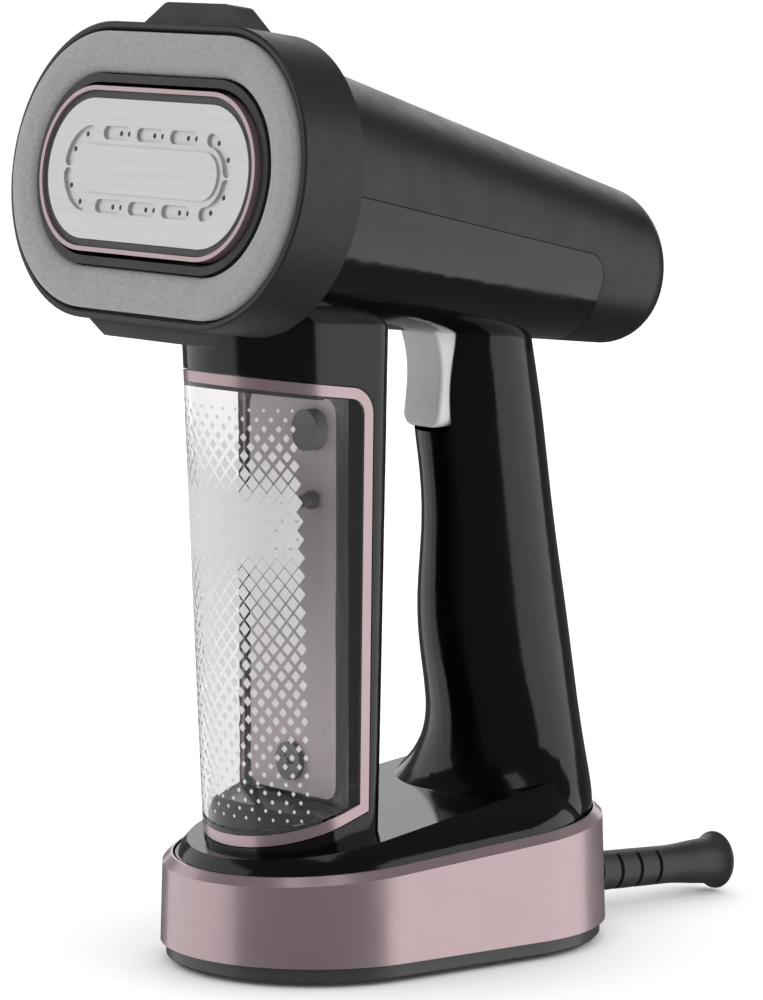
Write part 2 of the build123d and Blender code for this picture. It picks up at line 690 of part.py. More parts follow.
with BuildPart() as filler_plug:
    long_cylinder(PLUG_X, PLUG_Z, 9.0, TANK_FLOOR_Y - 0.1, TANK_FLOOR_Y - 1.3)
    long_block(PLUG_X, PLUG_Z - 14, 7.6, 27, TANK_FLOOR_Y - 0.1, TANK_FLOOR_Y - 1.3, 3.7)
    long_cylinder(PLUG_X, PLUG_Z, 6.5, TANK_FLOOR_Y - 1.3, TANK_FLOOR_Y - 7.0)
    long_cylinder(PLUG_X, PLUG_Z - 22, 2.1, TANK_FLOOR_Y - 1.3, TANK_FLOOR_Y - 7.5)
    long_cylinder(PLUG_X, PLUG_Z - 22, 2.9, TANK_FLOOR_Y - 3.4, TANK_FLOOR_Y - 5.0)
save("filler_plug", filler_plug)

with BuildPart() as outlet_spigot:
    long_cylinder(0, SPIGOT_Z, 4.0, SPIGOT_TIP, TANK_FLOOR_Y - 4.6)
    long_cylinder(0, SPIGOT_Z, 6.2, TANK_FLOOR_Y - BACK_THICK, TANK_FLOOR_Y - 4.6)
    long_cylinder(0, SPIGOT_Z, 3.1, SPIGOT_TIP - 1.6, -45, mode=Mode.SUBTRACT)
    long_cylinder(0, SPIGOT_Z, 1.7, -20, -45, mode=Mode.SUBTRACT)
save("outlet_spigot", outlet_spigot)

with BuildPart() as spring_seat:
    long_cylinder(0, SPIGOT_Z, 3.1, TANK_FLOOR_Y - 3.6, TANK_FLOOR_Y - 4.6)
    long_cylinder(0, SPIGOT_Z, 1.1, -20, -45, mode=Mode.SUBTRACT)
    with BuildSketch(cross_plane(-20, SPIGOT_Z)) as water_ways:
        with PolarLocations(2.2, 3):
            Circle(0.6)
    extrude(water_ways.sketch, amount=30, mode=Mode.SUBTRACT)
save("spring_seat", spring_seat)

with BuildPart() as outlet_poppet:
    long_cylinder(0, SPIGOT_Z, 2.6, POPPET_Y, POPPET_Y - 1.4)
    long_cylinder(0, SPIGOT_Z, 1.0, POPPET_Y - 1.4, TANK_FLOOR_Y - 5.2)
save("outlet_poppet", outlet_poppet)


def coil_spring(start_y, z, radius, wire, turns, length):
    """Compression spring lying along -Y from start_y."""
    with BuildLine() as coil:
        Helix(length / turns, length, radius, center=(0, start_y, z), direction=(0, -1, 0))
    with BuildSketch(Plane(origin=coil.line @ 0, z_dir=coil.line % 0)) as section:
        Circle(wire)
    sweep(section.sketch, path=coil.line, is_frenet=True)


with BuildPart() as poppet_spring:
    spring_length = POPPET_Y - 1.4 - (TANK_FLOOR_Y - 3.6) - 0.8
    coil_spring(POPPET_Y - 1.8, SPIGOT_Z, 2.0, 0.3, 3, spring_length)
save("poppet_spring", poppet_spring)

with BuildPart() as docking_socket:
    long_cylinder(0, SPIGOT_Z, 6.8, SOCKET_BACK_Y, RECESS_Y + 2.3)
    long_cylinder(0, SPIGOT_Z, 4.5, SOCKET_BACK_Y - 1.3, RECESS_Y, mode=Mode.SUBTRACT)
    long_cylinder(0, SPIGOT_Z, 5.1, -28.2, -29.4, mode=Mode.SUBTRACT)
    long_cylinder(0, SPIGOT_Z, 0.9, SOCKET_BACK_Y - 1.2, POPPET_Y + 0.2)
    upright_cylinder(0, SOCKET_BACK_Y - 3.4, 2.0, SPIGOT_Z - 12, SPIGOT_Z - 5)
    upright_cylinder(0, SOCKET_BACK_Y - 3.4, 1.1, SPIGOT_Z - 13, SPIGOT_Z - 4, mode=Mode.SUBTRACT)
save("docking_socket", docking_socket)

with BuildPart() as socket_ring:
    with BuildSketch(side_plane(0)) as ring_section:
        with Locations((-28.8, SPIGOT_Z + 4.6)):
            Circle(0.48)
    revolve(ring_section.sketch, axis=Axis((0, -28.8, SPIGOT_Z), (0, 1, 0)))
save("socket_ring", socket_ring)

# ---------------------------------------------------------------- pump in the base
PUMP_Y = 5.0
PUMP_Z = 24.0


def pump_cylinder(radius, x_from, x_to, mode=Mode.ADD):
    """Cylinder on the pump's axis."""
    side_cylinder(PUMP_Y, PUMP_Z, radius, x_from, x_to, mode=mode)


with BuildPart() as pump_coil:
    pump_cylinder(12.0, -13, 13)
    pump_cylinder(13.0, -13, -11.5)
    pump_cylinder(13.0, 11.5, 13)
    pump_cylinder(5.1, -20, 20, mode=Mode.SUBTRACT)
save("pump_coil", pump_coil)

with BuildPart() as pump_yoke:
    with BuildSketch(side_plane(-15)) as yoke:
        with Locations((PUMP_Y, PUMP_Z)):
            RectangleRounded(29, 29, 2)
    extrude(yoke.sketch, amount=30)
    with BuildSketch(side_plane(-13.2)) as window:
        with Locations((PUMP_Y, PUMP_Z)):
            Rectangle(26.2, 40)
    extrude(window.sketch, amount=26.4, mode=Mode.SUBTRACT)
    pump_cylinder(5.1, -20, 20, mode=Mode.SUBTRACT)
save("pump_yoke", pump_yoke)

with BuildPart() as pump_tube:
    pump_cylinder(5.0, -24, 24)
    pump_cylinder(2.0, -28, 28)
    pump_cylinder(3.6, -22, 22, mode=Mode.SUBTRACT)
    pump_cylinder(1.1, -30, 30, mode=Mode.SUBTRACT)
save("pump_tube", pump_tube)

with BuildPart() as pump_plunger:
    pump_cylinder(3.54, -18, 8)
    pump_cylinder(1.0, -20, 10, mode=Mode.SUBTRACT)
save("pump_plunger", pump_plunger)

with BuildPart() as pump_spring:
    with BuildLine() as pump_coil_path:
        Helix(2.4, 12.0, 2.9, center=(8.6, PUMP_Y, PUMP_Z), direction=(1, 0, 0))
    with BuildSketch(Plane(origin=pump_coil_path.line @ 0, z_dir=pump_coil_path.line % 0)) as pump_wire:
        Circle(0.35)
    sweep(pump_wire.sketch, path=pump_coil_path.line, is_frenet=True)
save("pump_spring", pump_spring)

with BuildPart() as pump_mounts:
    for side in (-1, 1):
        with BuildSketch(side_plane(side * 18)) as block:
            with Locations((PUMP_Y, (PUMP_Z + SOLE_TOP) / 2)):
                Rectangle(16, PUMP_Z - SOLE_TOP + 9)
        extrude(block.sketch, amount=side * 4)
    pump_cylinder(5.0, -30, 30, mode=Mode.SUBTRACT)
    with BuildSketch(Plane.XY.offset(SOLE_TOP - 2.6)) as floor_cut:
        Rectangle(100, 100)
    extrude(floor_cut.sketch, amount=-20, mode=Mode.SUBTRACT)
save("pump_mounts", pump_mounts)


def hose(route, bends, radius, bore):
    """Flexible tube along straight runs joined by arcs."""
    with BuildLine() as path:
        FilletPolyline(*route, radius=bends)
    with BuildSketch(Plane(origin=path.line @ 0, z_dir=path.line % 0)) as section:
        Circle(radius)
        if bore:
            Circle(bore, mode=Mode.SUBTRACT)
    sweep(section.sketch, path=path.line)


with BuildPart() as suction_hose:
    socket_y = SOCKET_BACK_Y - 3.4
    hose(
        ((0, socket_y, SPIGOT_Z - 8), (0, socket_y, 32), (-20, -24, 24), (-37, -8, PUMP_Z),
         (-37, PUMP_Y, PUMP_Z), (-26, PUMP_Y, PUMP_Z)),
        (8, 8, 8, 5), 3.0, 2.05,
    )
save("suction_hose", suction_hose)

with BuildPart() as delivery_hose:
    inlet = head_plane(-25.0).origin
    approach = head_plane(-36.0).origin
    hose(
        ((26, PUMP_Y, PUMP_Z), (38, PUMP_Y, PUMP_Z), (36, 20, 28), (12, 40, 50), (8, 48, 120),
         (8, 47.8, 180), (9, 34, 222), (0, -20, 236), tuple(approach), tuple(inlet)),
        (5, 9, 12, 20, 30, 20, 20, 14), 3.0, 2.05,
    )
save("delivery_hose", delivery_hose)

# ---------------------------------------------------------------- controls
with BuildPart() as trigger:
    with BuildSketch(side_plane(-TRIGGER_HALF)) as trigger_side:
        with BuildLine() as outline:
            front = Spline((12.6, 198.2), (15.0, 191.2), (15.9, 183.5), (15.2, 174.5), (14.2, 166.2))
            Polyline(front @ 1, (25.0, 166.2), (28.4, 190.0), (28.4, 198.2), front @ 0)
        make_face(outline.line)
    extrude(trigger_side.sketch, amount=2 * TRIGGER_HALF)
    long_block(0, 186.2, 2 * TRIGGER_HALF, 40.0, 40, 0, 4.5, mode=Mode.INTERSECT)
    fillet(trigger.faces().sort_by(Axis.Y)[0].edges(), TRIGGER_EDGE)
    with BuildSketch(side_plane(-TRIGGER_HALF + 1.8)) as trigger_hollow:
        Polygon((19.0, 169.0), (19.0, 193.0), (40, 193.0), (40, 169.0), align=None)
    extrude(trigger_hollow.sketch, amount=2 * TRIGGER_HALF - 3.6, mode=Mode.SUBTRACT)
    long_block(0, SWITCH_Z, 3.0, 4.0, 27.0, 18.0)
    side_cylinder(*TRIGGER_PIVOT, 1.55, -20, 20, mode=Mode.SUBTRACT)
save("trigger", trigger)

with BuildPart() as trigger_pin:
    side_cylinder(*TRIGGER_PIVOT, 1.5, -12, 12)
save("trigger_pin", trigger_pin)

with BuildPart() as trigger_switch:
    long_block(0, SWITCH_Z, 12.0, 12.0, 44.0, 33.5, 1.0)
    long_cylinder(0, SWITCH_Z, 2.1, 42, 30, mode=Mode.SUBTRACT)
    for side in (-1, 0, 1):
        long_block(side * 3.6, SWITCH_Z, 0.8, 2.4, 48.0, 44.0)
save("trigger_switch", trigger_switch)

with BuildPart() as switch_plunger:
    long_cylinder(0, SWITCH_Z, 2.05, 37.0, 27.4)
save("switch_plunger", switch_plunger)

with BuildPart() as trigger_spring:
    coil_spring(31.6, 184.5, 2.4, 0.4, 4, 12.0)
save("trigger_spring", trigger_spring)

with BuildPart() as spring_post:
    long_block(0, 184.5, 7.0, 7.0, 35.0, 32.1, 1.0)
    long_block(0, 184.5, 27.2, 9.0, 36.6, 35.0)
save("spring_post", spring_post)

with BuildPart() as control_board:
    long_block(0, 88.0, 27.0, 52.0, 58.8, 57.2, 1.5)
    long_block(7, 100.0, 9.0, 12.0, 57.2, 51.0, 1.0)
    long_block(-7, 98.0, 9.0, 16.0, 57.2, 53.0, 1.0)
save("control_board", control_board)

with BuildPart() as power_switch:
    long_block(0, BUTTON_Z, 6.0, 6.0, 64.6, 58.8, 0.5)
    long_cylinder(0, BUTTON_Z, 1.65, 70, 62.0, mode=Mode.SUBTRACT)
save("power_switch", power_switch)

with BuildPart() as power_switch_plunger:
    long_cylinder(0, BUTTON_Z, 1.6, 66.8, 63.2)
save("power_switch_plunger", power_switch_plunger)

with BuildPart() as power_button:
    with BuildSketch(cross_plane(BUTTON_FACE_Y, BUTTON_Z)) as cap:
        SlotOverall(16, 8, rotation=90)
    extrude(cap.sketch, amount=BUTTON_FACE_Y - 69.0)
    fillet(power_button.edges().group_by(Axis.Y)[-1], 0.8)
    with BuildSketch(cross_plane(69.9, BUTTON_Z)) as flange:
        SlotOverall(19, 11, rotation=90)
    extrude(flange.sketch, amount=1.4)
    long_cylinder(0, BUTTON_Z, 2.0, 69.0, 67.0)
save("power_button", power_button)

# ---------------------------------------------------------------- power entry
with BuildPart() as cord_guard:
    reach = hypot(guard_length, GUARD_END[1] - GUARD_START[1])
    guard_side = Plane(origin=guard_plane.origin, x_dir=guard_plane.z_dir, z_dir=(1, 0, 0))
    with BuildSketch(guard_side) as half_guard:
        with BuildLine() as profile:
            Line((0, GUARD_THROAT_R), (0, GUARD_FLANGE_R))
            Line((0, GUARD_FLANGE_R), (GUARD_FLANGE, GUARD_FLANGE_R))
            Line((GUARD_FLANGE, GUARD_FLANGE_R), (GUARD_FLANGE, GUARD_R))
            Line((GUARD_FLANGE, GUARD_R), (reach - 24, GUARD_R - 0.3))
            flare = Spline(
                (reach - 24, GUARD_R - 0.3), (reach - 10, GUARD_R + 0.7), (reach - 1.6, 9.5),
                tangents=((1, 0), (0.7, 0.7)),
            )
            ThreePointArc((reach - 1.6, 9.5), (reach - 0.2, 9.3), (reach, 8.0))
            Line((reach, 8.0), (reach - 5, CORD_R))
            Line((reach - 5, CORD_R), (GUARD_THROAT + 1, CORD_R))
            Line((GUARD_THROAT + 1, CORD_R), (GUARD_THROAT, GUARD_THROAT_R))
            Line((GUARD_THROAT, GUARD_THROAT_R), (0, GUARD_THROAT_R))
        make_face(profile.line)
    revolve(half_guard.sketch, axis=Axis(guard_plane.origin, guard_plane.z_dir))
    for ring in range(GUARD_RINGS):
        ring_plane = guard_plane.offset(12.0 + ring * GUARD_PITCH).rotated((0, 0, 90 * (ring % 2)))
        with BuildSketch(ring_plane) as slots:
            for side in (0, 180):
                with BuildLine(mode=Mode.PRIVATE) as slot_line:
                    CenterArc((0, 0), GUARD_R, side - 50, 100)
                add(SlotArc(slot_line.line.edge(), 3.0, mode=Mode.PRIVATE))
        extrude(slots.sketch, amount=1.5, mode=Mode.SUBTRACT)
save("cord_guard", cord_guard)

with BuildPart() as cord_clamp:
    long_block(0, SOLE_TOP + 13.6, 26, 4.0, 62, 54, 1.0)
    long_cylinder(0, GUARD_START[1], CORD_R + 0.3, 70, 50, mode=Mode.SUBTRACT)
    for side in (-1, 1):
        upright_cylinder(side * 9, 58, 1.7, 10, 30, mode=Mode.SUBTRACT)
save("cord_clamp", cord_clamp)

with BuildPart() as clamp_posts:
    for side in (-1, 1):
        upright_cylinder(side * 9, 58, 3.4, SOLE_TOP - 2.6, SOLE_TOP + 11.6)
        upright_cylinder(side * 9, 58, 1.35, 6, 30, mode=Mode.SUBTRACT)
save("clamp_posts", clamp_posts)

with BuildPart() as clamp_screws:
    for side in (-1, 1):
        upright_cylinder(side * 9, 58, 1.3, 8, SOLE_TOP + 15.6)
        upright_cylinder(side * 9, 58, 2.8, SOLE_TOP + 15.6, SOLE_TOP + 17.6)
save("clamp_screws", clamp_screws)

with BuildPart() as terminal_block:
    long_block(0, SOLE_TOP + 3.4, 24, 12, 48, 38, 1.0)
    for side in (-1, 0, 1):
        upright_cylinder(side * 7, 43, 2.2, SOLE_TOP + 5, 30, mode=Mode.SUBTRACT)
save("terminal_block", terminal_block)
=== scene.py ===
"""Looks of the standing garment steamer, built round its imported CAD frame.

Metres, +Z up, origin on the table under the middle of the base, the steam plate faces -Y.
"""

import json
from math import cos, pi, radians, sin

import bmesh
import bpy
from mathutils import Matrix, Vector


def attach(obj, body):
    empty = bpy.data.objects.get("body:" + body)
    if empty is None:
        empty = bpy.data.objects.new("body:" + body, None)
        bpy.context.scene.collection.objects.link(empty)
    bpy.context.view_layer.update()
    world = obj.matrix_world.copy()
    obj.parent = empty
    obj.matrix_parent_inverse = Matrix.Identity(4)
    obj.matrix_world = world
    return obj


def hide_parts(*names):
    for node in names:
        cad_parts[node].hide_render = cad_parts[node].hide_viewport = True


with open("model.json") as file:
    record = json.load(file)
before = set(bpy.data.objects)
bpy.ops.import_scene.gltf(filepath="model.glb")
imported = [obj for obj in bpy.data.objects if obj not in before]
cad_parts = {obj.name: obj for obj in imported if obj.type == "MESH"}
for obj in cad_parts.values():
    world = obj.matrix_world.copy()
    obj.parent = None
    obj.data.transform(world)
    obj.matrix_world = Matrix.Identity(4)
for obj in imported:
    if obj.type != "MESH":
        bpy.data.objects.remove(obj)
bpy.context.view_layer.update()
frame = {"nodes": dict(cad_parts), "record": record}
nodes = frame["nodes"]

MM = 0.001

# ---------------------------------------------------------------- sizes shared with the CAD source, in mm
HEAD_CENTRE = Vector((0, -92.0, 251.2))
HEAD_TILT = radians(8.9)
HEAD_STRAIGHT = 59.4
PAD_INNER_R = 30.0
PAD_OUTER_R = 42.9
PAD_THICK = 5.7
COLUMN_HALF = 30.0
COLUMN_NOSE = 24.4
COLUMN_FOOT = (30.0, -63.0)     # height and front y
COLUMN_HEAD = (212.0, -71.6)

CAMERA_TARGET = Vector((0, -0.0011, 0.1438))    # metres
CAMERA_AZIMUTH = 51.564
CAMERA_ELEVATION = 7.179
CAMERA_DISTANCE = 1.6062
CAMERA_LENS = 182.0

GLOSS_SKY = 0.10                # how bright gloss sees the studio
SKY_STRENGTH = 1.03
FLOOR_HALF = 40.0               # metres
FLOOR_Z = -0.0002

HEAD_OUT = Vector((0, -cos(HEAD_TILT), sin(HEAD_TILT)))
HEAD_UP = Vector((0, sin(HEAD_TILT), cos(HEAD_TILT)))


# ---------------------------------------------------------------- camera
def add_camera():
    """Camera at the product shot's angle: front right, a little above, through a long lens."""
    azimuth, elevation = radians(CAMERA_AZIMUTH), radians(CAMERA_ELEVATION)
    back = Vector((sin(azimuth) * cos(elevation), -cos(azimuth) * cos(elevation), sin(elevation)))
    data = bpy.data.cameras.new("camera")
    data.lens = CAMERA_LENS
    data.sensor_width = 36.0
    data.clip_start = 0.05
    data.clip_end = 100.0
    camera = bpy.data.objects.new("camera", data)
    camera.location = CAMERA_TARGET + back * CAMERA_DISTANCE
    camera.rotation_mode = "QUATERNION"
    camera.rotation_quaternion = (-back).to_track_quat("-Z", "Y")
    bpy.context.scene.collection.objects.link(camera)
    bpy.context.scene.camera = camera


# ---------------------------------------------------------------- studio
def add_softbox(name, azimuth, height, distance, size, power, aim_height=0.15):
    """Soft rectangular light; azimuth 0 stands in front of the steam plate and 90 on the right."""
    data = bpy.data.lights.new(name, "AREA")
    data.shape = "RECTANGLE"
    data.size, data.size_y = size
    data.energy = power
    light = bpy.data.objects.new(name, data)
    angle = radians(azimuth)
    light.location = (sin(angle) * distance, -cos(angle) * distance, height)
    light.rotation_mode = "QUATERNION"
    aim = Vector((0, 0, aim_height)) - light.location
    light.rotation_quaternion = aim.to_track_quat("-Z", "Y")
    light.visible_camera = False
    bpy.context.scene.collection.objects.link(light)


def add_world():
    """White studio: bright behind the object and for soft light, dim where gloss would mirror it."""
    world = bpy.data.worlds.new("studio")
    world.use_nodes = True
    bpy.context.scene.world = world
    tree = world.node_tree
    background = tree.nodes["Background"]
    path = tree.nodes.new("ShaderNodeLightPath")
    shade = tree.nodes.new("ShaderNodeMix")
    shade.data_type = "RGBA"
    shade.inputs["A"].default_value = (1.0, 1.0, 1.0, 1.0)
    shade.inputs["B"].default_value = (GLOSS_SKY, GLOSS_SKY, GLOSS_SKY, 1.0)
    tree.links.new(path.outputs["Is Glossy Ray"], shade.inputs["Factor"])
    tree.links.new(shade.outputs["Result"], background.inputs["Color"])
    background.inputs["Strength"].default_value = SKY_STRENGTH


def add_floor():
    """Plain pale floor, far larger than the view."""
    half = FLOOR_HALF
    mesh = bpy.data.meshes.new("floor")
    corners = [(-half, -half, 0), (half, -half, 0), (half, half, 0), (-half, half, 0)]
    mesh.from_pydata(corners, [], [(0, 1, 2, 3)])
    floor = bpy.data.objects.new("floor", mesh)
    floor.location.z = FLOOR_Z
    paint = new_material("floor_paint", (0.98, 0.98, 0.98), 0.9)
    shader(paint).inputs["Specular IOR Level"].default_value = 0.0
    mesh.materials.append(paint)
    floor.visible_glossy = False
    floor.visible_shadow = False
    bpy.context.scene.collection.objects.link(floor)


# ---------------------------------------------------------------- material building blocks
def new_material(name, color, roughness, metallic=0.0):
    """Principled material with its even values on the shader's own sockets."""
    material = bpy.data.materials.new(name)
    material.use_nodes = True
    inputs = shader(material).inputs
    inputs["Base Color"].default_value = (*color, 1.0)
    inputs["Roughness"].default_value = roughness
    inputs["Metallic"].default_value = metallic
    return material


def shader(material):
    return material.node_tree.nodes["Principled BSDF"]


def object_noise(material, scale, detail=2.0, stretch=(1, 1, 1)):
    """Noise in the object's own coordinates, in features per metre; returns its value output."""
    tree = material.node_tree
    coordinates = tree.nodes.new("ShaderNodeTexCoord")
    mapping = tree.nodes.new("ShaderNodeMapping")
    mapping.inputs["Scale"].default_value = stretch
    noise = tree.nodes.new("ShaderNodeTexNoise")
    noise.inputs["Scale"].default_value = scale
    noise.inputs["Detail"].default_value = detail
    tree.links.new(coordinates.outputs["Object"], mapping.inputs["Vector"])
    tree.links.new(mapping.outputs["Vector"], noise.inputs["Vector"])
    return noise.outputs["Fac"]


def ranged(material, value, low, high):
    """A noise value spread over low..high."""
    tree = material.node_tree
    spread = tree.nodes.new("ShaderNodeMapRange")
    spread.inputs["From Min"].default_value = 0.3
    spread.inputs["From Max"].default_value = 0.7
    spread.inputs["To Min"].default_value = low
    spread.inputs["To Max"].default_value = high
    tree.links.new(value, spread.inputs["Value"])
    return spread.outputs["Result"]


def vary_roughness(material, scale, low, high, stretch=(1, 1, 1)):
    value = ranged(material, object_noise(material, scale, 3.0, stretch), low, high)
    material.node_tree.links.new(value, shader(material).inputs["Roughness"])


def vary_color(material, scale, dark, light, detail=3.0, stretch=(1, 1, 1)):
    """Base colour that wanders between two close shades."""
    tree = material.node_tree
    mix = tree.nodes.new("ShaderNodeMix")
    mix.data_type = "RGBA"
    mix.inputs["A"].default_value = (*dark, 1.0)
    mix.inputs["B"].default_value = (*light, 1.0)
    factor = ranged(material, object_noise(material, scale, detail, stretch), 0.0, 1.0)
    tree.links.new(factor, mix.inputs["Factor"])
    tree.links.new(mix.outputs["Result"], shader(material).inputs["Base Color"])


def add_bump(material, scale, strength, depth, detail=2.0, stretch=(1, 1, 1)):
    """Fine relief; depth is in metres."""
    tree = material.node_tree
    bump = tree.nodes.new("ShaderNodeBump")
    bump.inputs["Strength"].default_value = strength
    bump.inputs["Distance"].default_value = depth
    tree.links.new(object_noise(material, scale, detail, stretch), bump.inputs["Height"])
    tree.links.new(bump.outputs["Normal"], shader(material).inputs["Normal"])


# ---------------------------------------------------------------- materials
def moulded_plastic(name, color, roughness, grain=2600, relief=0.00004):
    """Injection-moulded plastic with a fine spark-eroded grain."""
    material = new_material(name, color, roughness)
    lighter = tuple(c * 1.15 for c in color)
    vary_color(material, 60, color, lighter)
    vary_roughness(material, 90, roughness - 0.04, roughness + 0.05)
    add_bump(material, grain, 0.25, relief)
    return material


def polished_plastic(name, color, roughness):
    """High-gloss moulding: nearly a mirror, with a faint flow waviness and fine handling haze."""
    material = new_material(name, color, roughness)
    inputs = shader(material).inputs
    inputs["Specular IOR Level"].default_value = 0.42
    inputs["Coat Weight"].default_value = 0.15
    inputs["Coat Roughness"].default_value = 0.06
    vary_roughness(material, 35, roughness * 0.7, roughness * 1.5)
    add_bump(material, 16, 0.02, 0.0002, detail=1.0)
    return material


def metallic_paint(name, dark, light):
    """Rose-mauve metallic lacquer: fine flake under a clear coat."""
    material = new_material(name, light, 0.3, metallic=0.78)
    inputs = shader(material).inputs
    inputs["Coat Weight"].default_value = 0.5
    inputs["Coat Roughness"].default_value = 0.06
    vary_color(material, 5200, dark, light, detail=1.0)
    vary_roughness(material, 70, 0.27, 0.35)
    add_bump(material, 4200, 0.05, 0.00002)
    return material


def brushed_metal(name, color, roughness, stretch, metallic=0.9):
    """Metal with a directional grain."""
    material = new_material(name, color, roughness, metallic)
    darker = tuple(c * 0.93 for c in color)
    vary_color(material, 500, darker, color, stretch=stretch)
    vary_roughness(material, 700, roughness - 0.05, roughness + 0.07, stretch=stretch)
    add_bump(material, 1500, 0.06, 0.00002, stretch=stretch)
    return material


def felt(name, dark, light):
    """Dense needle felt: short crossed fibres, mottled grey."""
    material = new_material(name, light, 0.95)
    inputs = shader(material).inputs
    inputs["Sheen Weight"].default_value = 0.35
    inputs["Sheen Roughness"].default_value = 0.5
    inputs["Specular IOR Level"].default_value = 0.15
    vary_color(material, 900, dark, light, detail=6.0, stretch=(0.6, 1, 1))
    add_bump(material, 2600, 0.55, 0.00035, detail=5.0, stretch=(0.5, 1, 1))
    return material


def clear_plastic(name, color, roughness, ior=1.46):
    """Clear moulded tank plastic; lamps shine through it."""
    material = new_material(name, color, roughness)
    tree = material.node_tree
    principled = shader(material)
    principled.inputs["Transmission Weight"].default_value = 1.0
    principled.inputs["IOR"].default_value = ior
    path = tree.nodes.new("ShaderNodeLightPath")
    through = tree.nodes.new("ShaderNodeBsdfTransparent")
    through.inputs["Color"].default_value = (0.9, 0.89, 0.9, 1.0)
    mix = tree.nodes.new("ShaderNodeMixShader")
    output = tree.nodes["Material Output"]
    tree.links.new(path.outputs["Is Shadow Ray"], mix.inputs["Fac"])
    tree.links.new(principled.outputs["BSDF"], mix.inputs[1])
    tree.links.new(through.outputs["BSDF"], mix.inputs[2])
    tree.links.new(mix.outputs["Shader"], output.inputs["Surface"])
    vary_roughness(material, 30, roughness, roughness + 0.02)
    return material


def smoky_plastic(name, color, roughness, transmission):
    """Tinted translucent plastic."""
    material = new_material(name, color, roughness)
    inputs = shader(material).inputs
    inputs["Transmission Weight"].default_value = transmission
    inputs["IOR"].default_value = 1.4
    vary_roughness(material, 50, roughness - 0.04, roughness + 0.06)
    return material


def soft_rubber(name, color, roughness=0.6):
    material = new_material(name, color, roughness)
    lighter = tuple(c * 1.3 for c in color)
    vary_color(material, 140, color, lighter)
    add_bump(material, 3000, 0.2, 0.00005)
    return material


def enamelled_wire(name, dark, light):
    """Winding of fine enamelled wire, wound round the X axis."""
    material = new_material(name, light, 0.35, 0.6)
    tree = material.node_tree
    coordinates = tree.nodes.new("ShaderNodeTexCoord")
    wave = tree.nodes.new("ShaderNodeTexWave")
    wave.bands_direction = "X"
    wave.inputs["Scale"].default_value = 320.0
    bump = tree.nodes.new("ShaderNodeBump")
    bump.inputs["Strength"].default_value = 0.6
    bump.inputs["Distance"].default_value = 0.0003
    tree.links.new(coordinates.outputs["Object"], wave.inputs["Vector"])
    tree.links.new(wave.outputs["Fac"], bump.inputs["Height"])
    tree.links.new(bump.outputs["Normal"], shader(material).inputs["Normal"])
    vary_color(material, 400, dark, light)
    return material


def make_materials():
    """Every material by the name of the record's slot it finishes."""
    across = (0.04, 1, 1)
    return {
        "satin_black": moulded_plastic("satin_black", (0.004, 0.004, 0.0044), 0.36),
        "gloss_black": polished_plastic("gloss_black", (0.002, 0.002, 0.0022), 0.13),
        "mauve": metallic_paint("mauve", (0.44, 0.325, 0.345), (0.52, 0.39, 0.412)),
        "dark_base": moulded_plastic("dark_base", (0.035, 0.036, 0.037), 0.33),
        "foot_rubber": soft_rubber("foot_rubber", (0.018, 0.018, 0.018)),
        "frame_grey": moulded_plastic("frame_grey", (0.013, 0.013, 0.0135), 0.42),
        "lint_fabric": felt("lint_fabric", (0.20, 0.20, 0.205), (0.25, 0.25, 0.255)),
        "seal_rubber": soft_rubber("seal_rubber", (0.045, 0.045, 0.046)),
        "plate_steel": brushed_metal("plate_steel", (0.58, 0.58, 0.59), 0.3, across, metallic=0.6),
        "element_steel": brushed_metal("element_steel", (0.5, 0.5, 0.5), 0.35, across),
        "cast_aluminium": brushed_metal("cast_aluminium", (0.16, 0.16, 0.165), 0.5, (1, 1, 1)),
        "screw_steel": brushed_metal("screw_steel", (0.55, 0.55, 0.56), 0.3, (1, 1, 1)),
        "brass_fitting": brushed_metal("brass_fitting", (0.72, 0.52, 0.24), 0.3, (1, 1, 1)),
        "thermostat_white": moulded_plastic("thermostat_white", (0.75, 0.75, 0.72), 0.5),
        "tank_clear": clear_plastic("tank_clear", (0.83, 0.815, 0.82), 0.015, ior=1.3),
        "tank_smoke": smoky_plastic("tank_smoke", (0.72, 0.65, 0.66), 0.3, 0.0),
        "plug_rubber": soft_rubber("plug_rubber", (0.17, 0.17, 0.17), 0.5),
        "valve_grey": moulded_plastic("valve_grey", (0.2, 0.19, 0.19), 0.35),
        "valve_white": moulded_plastic("valve_white", (0.7, 0.7, 0.69), 0.4),
        "spring_steel": brushed_metal("spring_steel", (0.6, 0.6, 0.6), 0.25, (1, 1, 1)),
        "inner_black": moulded_plastic("inner_black", (0.02, 0.02, 0.02), 0.5),
        "copper_winding": enamelled_wire("copper_winding", (0.4, 0.15, 0.06), (0.6, 0.26, 0.1)),
        "hose_silicone": soft_rubber("hose_silicone", (0.62, 0.62, 0.6), 0.45),
        "trigger_grey": moulded_plastic("trigger_grey", (0.58, 0.58, 0.57), 0.33),
        "board_green": polished_plastic("board_green", (0.02, 0.12, 0.05), 0.25),
        "button_grey": moulded_plastic("button_grey", (0.10, 0.10, 0.105), 0.4),
        "guard_black": soft_rubber("guard_black", (0.022, 0.022, 0.023), 0.45),
    }


def dress_cad_nodes(materials):
    """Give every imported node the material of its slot."""
    for entry in frame["record"]["subparts"]:
        slots = nodes[entry["node"]].material_slots
        for slot in slots:
            slot.material = materials[entry["material_slot"]]


# ---------------------------------------------------------------- mesh helpers
def head_point(across, up, depth):
    """Point on the steam head, from mm in the head's own axes to metres in the frame."""
    return (HEAD_CENTRE + Vector((across, 0, 0)) + HEAD_UP * up + HEAD_OUT * depth) * MM


